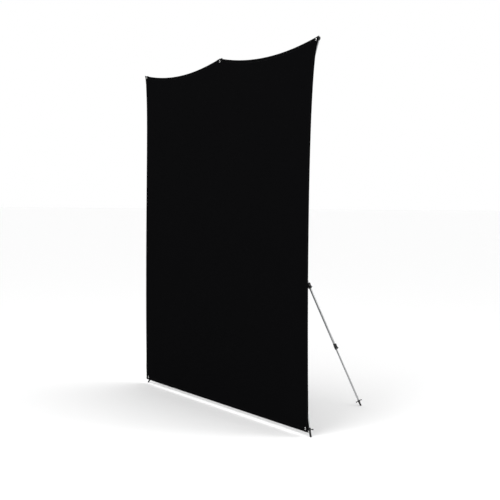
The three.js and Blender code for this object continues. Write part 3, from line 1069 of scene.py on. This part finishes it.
@dataclass
class Arm:
    """One telescopic arm, from its knuckle in the hub to its tip."""

    name: str
    stands: bool

    def build(self) -> None:
        """Makes every piece of the arm where its CAD nodes lie."""
        name, axes = self.name, arm_axes(self.name)
        _, outer_end = span(f"{name}_outer_tube", axes)
        outer = TelescopicTube(axes, OUTER, 22 * MM, outer_end)
        outer.build(f"{name}_outer_tube_shell", f"{name}_outer", [f"{name}_outer_tube"])
        Knuckle(axes).build(name)
        sections = f"{name}_middle_slide" in JOINTS
        start, end = span(f"{name}_inner_tube", axes)
        if sections:
            low, high = span(f"{name}_middle_tube", axes)
            middle = TelescopicTube(axes, MIDDLE, low, high)
            middle.build(f"{name}_middle_tube_shell", f"{name}_middle", [f"{name}_middle_tube"])
            FlipLock(name, "upper", OUTER, MIDDLE).build(f"{name}_outer")
            FlipLock(name, "lower", MIDDLE, INNER).build(f"{name}_middle")
            inner = TelescopicTube(axes, INNER, start, end)
        else:
            FlipLock(name, "upper", OUTER, MIDDLE).build(f"{name}_outer")
            inner = TelescopicTube(axes, MIDDLE, start, end, neck=INNER, neck_at=end - 23.7 * MM)
        inner.build(f"{name}_inner_tube_shell", f"{name}_inner", [f"{name}_inner_tube"])
        ArmTip(name, end + CLEAT_PAST_TUBE, self.stands).build()


# ---- Hub -------------------------------------------------------------------------------------


@dataclass
class Hub:
    """The moulded plate behind the cloth that every arm is hinged on, and its centre bolt."""

    plate: float = 5.0 * MM
    web_step: float = 0.06 * MM
    disc_proud: float = 0.8 * MM
    standoff: float = 16.0 * MM
    rim: float = 9.0 * MM
    disc: float = 24.0 * MM
    boss: float = 12.0 * MM
    boss_length: float = 9.0 * MM
    ear: float = 8.0 * MM
    ear_thickness: float = 4.5 * MM
    tongue: float = 9.6 * MM
    ear_gap: float = 0.4 * MM
    bolt: float = 4.0 * MM

    def __post_init__(self) -> None:
        """Reads where the hinges are about the hub's middle."""
        low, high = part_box("hub_bolt")
        self.hinges = [Vector(JOINTS[f"{arm}_fold"]["pos_m"]) for arm in ARMS]
        centre = Vector(((low.x + high.x) / 2, self.hinges[0].y, (low.z + high.z) / 2))
        # y runs backwards and z up, so the pin axis is Z and x is Y cross Z.
        self.axes = Axes(centre, Vector((0, 1, 0)), Vector((0, 0, 1)))

    def build(self) -> None:
        """Makes the body, the cover and the fasteners."""
        self.build_body()
        self.build_cover()
        self.build_fasteners()

    def build_body(self) -> None:
        """Makes the plate's webs, the ears with their pads, the disc and the boss."""
        sketch = Sketch(self.axes)
        plate_y = -self.standoff - self.plate / 2
        up = Matrix.Rotation(math.radians(90), 4, "X")
        for index, hinge in enumerate(self.hinges):
            away = hinge - self.axes.origin
            radius, turn = math.hypot(away.x, away.z), math.atan2(away.z, away.x) - math.pi / 2
            spoke = Matrix.Translation((0, plate_y, 0)) @ up @ Matrix.Rotation(turn, 4, "Z")
            outline = arc((0, 0), self.rim, 180, 360) + arc((0, radius), self.rim, 0, 180)
            # Each web is a hair thicker than the one before, so no two of their faces lie in one plane.
            sketch.prism(outline, self.plate + index * self.web_step, spoke, bevel=0.9 * MM)
            gap = self.tongue / 2 + self.ear_gap + self.ear_thickness / 2
            ear_out = Matrix.Rotation(-(turn + math.pi / 2), 4, "Y")
            foot = -self.standoff - 1.2 * MM
            ear = [(radius - self.ear, foot), (radius + self.ear, foot)]
            ear += arc((radius, 0), self.ear, 0, 180, 18)
            for sign in (-1, 1):
                sketch.prism(ear, self.ear_thickness, ear_out @ laid(0, 0, sign * gap), bevel=0.7 * MM)
                pad = eased([(0, 0), (6 * MM, 0), (5.4 * MM, 0.7 * MM), (0, 0.7 * MM)], 0.2 * MM)
                flip = 0 if sign > 0 else 180
                side = sign * (gap + self.ear_thickness / 2 - 0.1 * MM)
                place = ear_out @ laid(radius, 0, side, flip, "X")
                sketch.turned(pad, segments=32, spin=Spin.Z, place=place)
        front, back = 0.5 * MM - self.standoff - self.plate, self.disc_proud - self.standoff
        disc = [(0, front), (self.disc, front), (self.disc, back)]
        disc += [(self.disc - 3 * MM, back), (self.disc - 3.6 * MM, back - 0.5 * MM)]
        disc += [(self.boss + 4 * MM, back - 0.5 * MM), (self.boss + 3.4 * MM, back)]
        disc += [(self.boss + 2 * MM, back)]
        disc += [(self.boss, back + 2 * MM), (self.boss, self.boss_length - self.standoff)]
        disc += [(0, self.boss_length - self.standoff)]
        sketch.turned(eased(disc, 0.8 * MM), segments=64)
        sketch.made("hub_body_moulding", Surface.NYLON, "hub", "hub_moulding", ["hub_body"])

    def build_cover(self) -> None:
        """Makes the front cover: a shallow dished disc with a raised rim."""
        low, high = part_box("hub_front_cover")
        back, front = high.y - self.axes.origin.y, low.y - self.axes.origin.y
        hole, rim = self.bolt + 0.3 * MM, self.disc
        profile = [(hole, back), (hole, front + 0.8 * MM), (9 * MM, front + 0.8 * MM), (10 * MM, front)]
        profile += [(13 * MM, front), (14 * MM, front + 0.6 * MM), (rim - 4 * MM, front + 0.6 * MM)]
        profile += [(rim - 3 * MM, front), (rim - 1.6 * MM, front + 0.3 * MM)]
        profile += [(rim, back - 0.8 * MM), (rim, back)]
        sketch = Sketch(self.axes).turned(eased(profile, 0.4 * MM, closed=True), segments=72, closed=True)
        sketch.made("hub_front_cover_disc", Surface.NYLON, "hub", "hub_moulding", ["hub_front_cover"])

    def build_fasteners(self) -> None:
        """Makes the bolt, the washer and the lock nut."""
        middle = self.axes.origin.y
        low, high = (corner.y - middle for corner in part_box("hub_bolt"))
        head = low + 4.5 * MM
        up = Matrix.Rotation(math.radians(90), 4, "X")
        shank = [(0, head - 1 * MM), (self.bolt, head - 1 * MM), (self.bolt, high - 0.8 * MM)]
        shank += [(3.4 * MM, high), (0, high)]
        sketch = Sketch(self.axes).turned(eased(shank, 0.2 * MM), segments=32)
        hexagon = arc((0, 0), 7.4 * MM, 0, 300, 5)
        sketch.prism(hexagon, head - low, Matrix.Translation((0, (head + low) / 2, 0)) @ up, bevel=0.6 * MM)
        sketch.made("hub_bolt_hex", Surface.ZINC, "hub", "fastener", ["hub_bolt"])
        start, end = (corner.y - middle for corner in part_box("hub_washer"))
        washer = [(4.3 * MM, start), (10 * MM, start), (10 * MM, end), (4.3 * MM, end)]
        ring = Sketch(self.axes).turned(eased(washer, 0.3 * MM, closed=True), segments=48, closed=True)
        ring.made("hub_washer_ring", Surface.ZINC, "hub", "fastener", ["hub_washer"])
        start, end = (corner.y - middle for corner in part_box("hub_nut"))
        nut = Sketch(self.axes)
        height = (end - start) * 0.72
        nut.prism(hexagon, height, Matrix.Translation((0, start + height / 2, 0)) @ up, bevel=0.5 * MM)
        root = start + height - 1 * MM
        crown = [(4.2 * MM, root), (6.2 * MM, root), (6.0 * MM, end), (4.6 * MM, end)]
        nut.turned(eased(crown, 0.4 * MM, closed=True), segments=40, closed=True)
        nut.made("hub_lock_nut", Surface.ZINC, "hub", "fastener", ["hub_nut"])


# ---- Cloth -----------------------------------------------------------------------------------


@dataclass
class Backdrop:
    """The cloth: an 8 foot square of knit, hemmed all round and hooked on five tips by its grommets."""

    cut: float = 2.438
    hem: float = 22.0 * MM
    thickness: float = 0.9 * MM
    hem_extra: float = 0.9 * MM
    top_sag: float = 62.0 * MM
    flare_length: float = 250.0 * MM
    flare_power: float = 0.75
    hole: float = 5.0 * MM
    stitch_pitch: float = 4.0 * MM
    stitch_radius: float = 0.28 * MM
    coarse: float = 22.0 * MM
    belly: float = 13.0 * MM
    fold_depth: float = 1.1 * MM
    fold_reach: float = 0.2
    seed: int = 7

    def __post_init__(self) -> None:
        """Reads the cloth's box and the points where the tips' prongs come through."""
        self.low, self.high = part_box("backdrop_cloth")
        self.plane = (self.low.y + self.high.y) / 2
        self.grommets = [self.through(arm) for arm, kind in ARMS.items() if kind is not ArmKind.REAR_LEG]
        self.bottom_half = self.cad_half_width(self.low.z)
        self.top_half = self.high.x
        corner = max(self.grommets, key=lambda point: point.x + point.z)
        self.corner_top = self.cad_corner_height()
        centre = min(self.grommets, key=lambda point: abs(point.x))
        self.peak = centre.z + (self.corner_top - corner.z)
        draw = random.Random(self.seed)
        self.waves = [
            (draw.uniform(0.4, 1.0), draw.uniform(1.4, 5.0), draw.uniform(-1.6, 1.6), draw.uniform(0, 6.28))
            for _ in range(6)
        ]

    def through(self, arm: str) -> Vector:
        """Where an arm's front prong crosses the cloth."""
        axes = arm_axes(arm)
        _, end = span(f"{arm}_inner_tube", axes)
        cleat = axes.origin + axes.along * (end + CLEAT_PAST_TUBE)
        return cleat + axes.out * ((self.plane - cleat.y) / axes.out.y)

    def cad_half_width(self, height: float) -> float:
        """Half the CAD cloth's width at a height."""
        points = [vertex.co for vertex in frame["nodes"]["backdrop_cloth"].data.vertices]
        return max(point.x for point in points if abs(point.z - height) < 1 * MM)

    def cad_corner_height(self) -> float:
        """How high the CAD cloth's top corner is."""
        return max(
            v.co.z for v in frame["nodes"]["backdrop_cloth"].data.vertices if v.co.x > self.high.x - 0.5 * MM
        )

    def edge_point(self, u: float, v: float) -> Vector:
        """The hung cloth's flat place for a point of the cut.

        Args:
            u: from -1 at the left edge to 1 at the right edge.
            v: from 0 at the bottom edge to 1 at the top edge.

        Returns:
            The point in the row frame, in the cloth's plane.
        """
        drop = (self.corner_top - self.low.z) * (1 - v)
        share_of_flare = math.exp(-((drop / self.flare_length) ** self.flare_power))
        flare = (self.top_half - self.bottom_half) * share_of_flare
        share = 1 - abs(u)
        sag = 4 * self.top_sag * share * (1 - share)
        top = self.corner_top + (self.peak - self.corner_top) * share - sag
        height = self.low.z + v * (top - self.low.z)
        return Vector((u * (self.bottom_half + flare), self.plane, height))

    def ripple(self, point: Vector) -> float:
        """How far the cloth stands out of its plane, from its slack and the pull of the grommets."""
        rise = min(1.0, max(0.0, (point.z - self.low.z) / (self.corner_top - self.low.z)))
        out = -self.belly * math.sin(math.pi * rise) ** 0.8
        for grommet in self.grommets:
            dx, dz = point.x - grommet.x, point.z - grommet.z
            away = math.hypot(dx, dz)
            angle = math.atan2(dz, dx)
            folds = math.sin(angle * 9.0 + grommet.x) + 0.5 * math.sin(angle * 14.0 + 2.0)
            out += self.fold_depth * folds * math.exp(-away / self.fold_reach) * min(1.0, away / 0.06)
        share = (point.z - self.low.z) / (self.high.z - self.low.z)
        for size, across, lean, phase in self.waves:
            swing = math.sin(across * point.x + lean * point.z + phase)
            out += 0.55 * MM * size * swing * (0.4 + 0.6 * share)
        return out

    def steps(self, length: float, fine: Sequence[float], centre_fine: bool) -> list[float]:
        """Grid lines along one side of the cloth: close at the hems and wherever a grommet sits.

        Args:
            length: the side's length.
            fine: distances from each end where lines are wanted.
            centre_fine: whether the middle needs close lines too.

        Returns:
            The distances of the lines from the first end.
        """
        lines = set(fine) | {length - x for x in fine}
        inner = max(fine)
        count = round((length - 2 * inner) / self.coarse)
        lines |= {inner + (length - 2 * inner) * i / count for i in range(count + 1)}
        if centre_fine:
            lines = {x for x in lines if abs(x - length / 2) > 26 * MM}
            lines |= {length / 2 + i * 2.5 * MM for i in range(-10, 11)}
        ordered = sorted(lines)
        return [ordered[0]] + [x for before, x in zip(ordered, ordered[1:]) if x - before > 0.1 * MM]

    def relief(self, inset: float) -> float:
        """The cloth's extra half thickness at a distance from its edge: a folded hem with a rolled rim."""
        if inset < 1.2 * MM:
            return self.hem_extra * 0.35 * math.sqrt(max(0.0, inset / (1.2 * MM)))
        if inset < self.hem:
            dent = math.exp(-(((inset - (self.hem - 2.5 * MM)) / (0.9 * MM)) ** 2))
            return self.hem_extra * (0.5 - 0.42 * dent)
        return self.hem_extra * 0.5 * max(0.0, 1 - (inset - self.hem) / (0.8 * MM))

    def build(self) -> None:
        cloth = self.build_cloth()
        rings = [self.build_grommet(i, point) for i, point in enumerate(self.grommets)]
        thread = self.build_stitching()

    def build_cloth(self) -> bpy.types.Object:
        """Makes the hemmed cloth as one closed skin with a hole at each grommet."""
        fine = [0.0, 0.4 * MM, 1.2 * MM, 3 * MM, 6 * MM, 9 * MM, 12 * MM, 15 * MM, 17 * MM]
        fine += [18.4 * MM, 19.2 * MM]
        fine += [19.8 * MM, 20.8 * MM, 22 * MM, 22.8 * MM, 25 * MM, 27.5 * MM, 30 * MM, 32.5 * MM, 35 * MM]
        fine += [37.5 * MM, 40 * MM, 44 * MM, 50 * MM]
        across = self.steps(2 * self.bottom_half, fine, centre_fine=True)
        upward = self.steps(self.high.z - self.low.z, fine, centre_fine=False)
        wide, tall = across[-1], upward[-1]
        axes = Axes(Vector((0, 0, 0)), Vector((0, 1, 0)), Vector((0, 0, 1)))
        sketch = Sketch(axes)
        sheets = []
        for sign in (-1, 1):
            grid = []
            for y in upward:
                row = []
                for x in across:
                    place = self.edge_point(2 * x / wide - 1, y / tall)
                    inset = min(x, wide - x, y, tall - y)
                    half = self.thickness / 2 * min(1.0, 0.3 + inset / (0.6 * MM)) + self.relief(inset)
                    place.y += self.ripple(place) + sign * half
                    row.append(sketch.mesh.verts.new(place))
                grid.append(row)
            sheets.append(grid)
        front, back = sheets
        gone = set()
        for j in range(len(upward) - 1):
            for i in range(len(across) - 1):
                middle = (front[j][i].co + front[j + 1][i + 1].co) / 2
                if any(math.hypot(middle.x - g.x, middle.z - g.z) < self.hole for g in self.grommets):
                    gone.add((j, i))
                    continue
                sketch.mesh.faces.new([front[j][i], front[j][i + 1], front[j + 1][i + 1], front[j + 1][i]])
                sketch.mesh.faces.new([back[j][i], back[j + 1][i], back[j + 1][i + 1], back[j][i + 1]])
        self.close_rims(sketch, front, back, gone)
        loose = [vertex for vertex in sketch.mesh.verts if not vertex.link_faces]
        bmesh.ops.delete(sketch.mesh, geom=loose, context="VERTS")
        return sketch.made(
            "backdrop_cloth_knit", Surface.KNIT, "backdrop", "cloth", ["backdrop_cloth"], crease=70.0
        )

    def close_rims(self, sketch: Sketch, front: list, back: list, gone: set[tuple[int, int]]) -> None:
        """Joins the two skins round the outer edge and round every hole.

        Args:
            sketch: the cloth's sketch.
            front: the front skin's vertices by row.
            back: the back skin's vertices by row.
            gone: the cells that the grommets' holes take away.
        """
        rows, columns = len(front) - 1, len(front[0]) - 1

        def missing(j: int, i: int) -> bool:
            """Whether a cell is outside the cloth or was taken away."""
            return not (0 <= j < rows and 0 <= i < columns) or (j, i) in gone

        for j in range(rows):
            for i in range(columns):
                if (j, i) in gone:
                    continue
                sides = [
                    (missing(j - 1, i), (j, i), (j, i + 1)),
                    (missing(j, i + 1), (j, i + 1), (j + 1, i + 1)),
                    (missing(j + 1, i), (j + 1, i + 1), (j + 1, i)),
                    (missing(j, i - 1), (j + 1, i), (j, i)),
                ]
                for is_open, (a, b), (c, d) in sides:
                    if is_open:
                        sketch.mesh.faces.new([front[a][b], back[a][b], back[c][d], front[c][d]])

    def build_grommet(self, index: int, point: Vector) -> bpy.types.Object:
        """Makes one grommet: a rolled eyelet through the cloth and the washer behind it.

        Args:
            index: its number, for its name.
            point: its middle.

        Returns:
            The piece.
        """
        place = Vector((point.x, self.plane + self.ripple(point), point.z))
        axes = Axes(place, Vector((0, 1, 0)), Vector((0, 0, 1)))
        half = self.thickness / 2 + self.hem_extra / 2
        eyelet = [(4.6 * MM, half)]
        eyelet += [(4.6 * MM, -half - 0.4 * MM), (5.2 * MM, -half - 1.1 * MM), (6.4 * MM, -half - 1.25 * MM)]
        eyelet += [(8.0 * MM, -half - 0.75 * MM), (8.8 * MM, -half - 0.1 * MM), (8.4 * MM, -half + 0.05 * MM)]
        eyelet += [(6.6 * MM, -half - 0.3 * MM), (5.2 * MM, -half), (5.2 * MM, half)]
        washer = [(4.7 * MM, half - 0.3 * MM), (8.6 * MM, half), (8.7 * MM, half + 0.35 * MM)]
        washer += [(6.6 * MM, half + 0.8 * MM), (5.2 * MM, half + 1.0 * MM), (4.5 * MM, half + 0.5 * MM)]
        sketch = Sketch(axes)
        sketch.turned(eased(eyelet, 0.35 * MM, 3, closed=True), segments=48, closed=True)
        sketch.turned(eased(washer, 0.3 * MM, 3, closed=True), segments=48, closed=True)
        name = f"backdrop_grommet_{index + 1}"
        return sketch.made(name, Surface.NICKEL, "backdrop", "grommet", crease=60.0)

    def build_stitching(self) -> bpy.types.Object:
        """Makes the row of lockstitches that holds the hem, seen on both faces."""
        axes = Axes(Vector((0, 0, 0)), Vector((0, 1, 0)), Vector((0, 0, 1)))
        sketch = Sketch(axes)
        inset = self.hem - 2.5 * MM
        wide, tall = 2 * self.bottom_half, self.high.z - self.low.z
        corner = [(inset, inset), (wide - inset, inset), (wide - inset, tall - inset), (inset, tall - inset)]
        for start, end in zip(corner, corner[1:] + corner[:1]):
            run = math.hypot(end[0] - start[0], end[1] - start[1])
            count = int(run / self.stitch_pitch)
            for k in range(count):
                ends = []
                for t in (k + 0.14, k + 0.86):
                    x = start[0] + (end[0] - start[0]) * t / count
                    y = start[1] + (end[1] - start[1]) * t / count
                    ends.append(self.edge_point(2 * x / wide - 1, y / tall))
                if any((ends[0] - Vector((g.x, self.plane, g.z))).length < 9.5 * MM for g in self.grommets):
                    continue
                for sign in (-1, 1):
                    self.stitch(sketch, ends[0], ends[1], sign)
        return sketch.made("backdrop_hem_stitching", Surface.THREAD, "backdrop", "cloth", crease=50.0)

    def stitch(self, sketch: Sketch, start: Vector, end: Vector, sign: int) -> None:
        """Adds one stitch: a short bulging thread that dips into the cloth at both ends.

        Args:
            sketch: the stitching's sketch.
            start: where it comes out.
            end: where it goes in.
            sign: -1 on the front face, 1 on the back.
        """
        run = (end - start).normalized()
        side = run.cross(Vector((0, 1, 0)))
        face = self.thickness / 2 + self.hem_extra * 0.1
        rings = []
        for t, swell in ((0.0, 0.45), (0.25, 1.0), (0.75, 1.0), (1.0, 0.45)):
            middle = start.lerp(end, t)
            lift = face + self.stitch_radius * (0.1 if swell < 1 else 0.8)
            middle = Vector((middle.x, self.plane + self.ripple(middle) + sign * lift, middle.z))
            ring = []
            for k in range(5):
                angle = 2 * math.pi * k / 5
                offset = side * math.cos(angle) + Vector((0, math.sin(angle), 0))
                ring.append(sketch.mesh.verts.new(middle + offset * self.stitch_radius * swell))
            rings.append(ring)
        for low, high in zip(rings, rings[1:]):
            for k in range(5):
                m = (k + 1) % 5
                sketch.mesh.faces.new([low[k], low[m], high[m], high[k]])
        sketch.mesh.faces.new(rings[0])
        sketch.mesh.faces.new(rings[-1])


# ---- Studio ----------------------------------------------------------------------------------


@dataclass
class Studio:
    """The pale floor, the soft light and the camera."""

    lens: float = 83.6
    distance_right: float = 7.239
    distance_front: float = 3.736
    height: float = 1.408
    heading: float = -61.155
    roll: float = 0.498
    rise: float = -0.0884
    floor_size: float = 900.0

    def build(self) -> None:
        """Makes the floor, the light and the camera."""
        self.build_camera()
        self.build_floor()
        self.build_light()

    def build_camera(self) -> None:
        """Sets the camera level, to the front right of the cloth, with a small shift for the framing."""
        low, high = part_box("backdrop_cloth")
        data = bpy.data.cameras.new("camera")
        data.lens = self.lens
        data.sensor_width = 36.0
        data.shift_y = self.rise
        data.clip_end = 1500.0
        camera = bpy.data.objects.new("camera", data)
        bpy.context.scene.collection.objects.link(camera)
        place = Vector((self.distance_right, (low.y + high.y) / 2 - self.distance_front, self.height))
        heading = Matrix.Rotation(math.radians(-self.heading), 4, "Z")
        level = Matrix.Rotation(math.radians(90), 4, "X")
        roll = Matrix.Rotation(math.radians(self.roll), 4, "Z")
        camera.matrix_world = Matrix.Translation(place) @ heading @ level @ roll
        bpy.context.scene.camera = camera

    def build_floor(self) -> None:
        """Makes the plain pale floor."""
        half = self.floor_size / 2
        data = bpy.data.meshes.new("floor")
        corners = [(-half, -half, 0), (half, -half, 0), (half, half, 0), (-half, half, 0)]
        data.from_pydata(corners, [], [(0, 1, 2, 3)])
        floor = bpy.data.objects.new("floor", data)
        bpy.context.scene.collection.objects.link(floor)
        paint = bpy.data.materials.new("studio_floor_paint")
        paint.use_nodes = True
        shader = paint.node_tree.nodes["Principled BSDF"]
        shader.inputs["Base Color"].default_value = linear("#fcfcfc")
        shader.inputs["Roughness"].default_value = 0.9
        shader.inputs["Specular IOR Level"].default_value = 0.1
        data.materials.append(paint)

    def build_light(self) -> None:
        """Sets an even white surround and two large soft boxes."""
        scene = bpy.context.scene
        scene.view_settings.view_transform = "Standard"
        world = bpy.data.worlds.new("studio")
        world.use_nodes = True
        world.node_tree.nodes["Background"].inputs["Color"].default_value = (1.0, 1.0, 1.0, 1.0)
        world.node_tree.nodes["Background"].inputs["Strength"].default_value = 1.0
        scene.world = world
        for name, place, power, size in (
            ("key_soft_box", (3.2, -5.0, 4.4), 160.0, 3.0),
            ("rim_soft_box", (4.5, 4.0, 3.4), 90.0, 2.4),
        ):
            data = bpy.data.lights.new(name, "AREA")
            data.energy = power
            data.size = size
            lamp = bpy.data.objects.new(name, data)
            scene.collection.objects.link(lamp)
            lamp.location = place
            aim = Vector((0, 0, 1.2)) - Vector(place)
            lamp.rotation_euler = aim.to_track_quat("-Z", "Y").to_euler()


# ---- Assembly --------------------------------------------------------------------------------


class ArmKind(Enum):
    """What an arm does."""

    TOP_ARM = "top_arm"
    FRONT_LEG = "front_leg"
    REAR_LEG = "rear_leg"


ARMS = {
    "top_left_arm": ArmKind.TOP_ARM,
    "top_centre_arm": ArmKind.TOP_ARM,
    "top_right_arm": ArmKind.TOP_ARM,
    "front_left_leg": ArmKind.FRONT_LEG,
    "front_right_leg": ArmKind.FRONT_LEG,
    "rear_left_leg": ArmKind.REAR_LEG,
    "rear_right_leg": ArmKind.REAR_LEG,
}


def main() -> None:
    """Builds the object and its studio."""
    logging.basicConfig(level=logging.INFO, format="%(name)s: %(message)s")
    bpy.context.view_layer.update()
    Studio().build()
    Hub().build()
    for name, kind in ARMS.items():
        Arm(name, kind is not ArmKind.TOP_ARM).build()
    Backdrop().build()


if __name__ == "__main__":
    main()
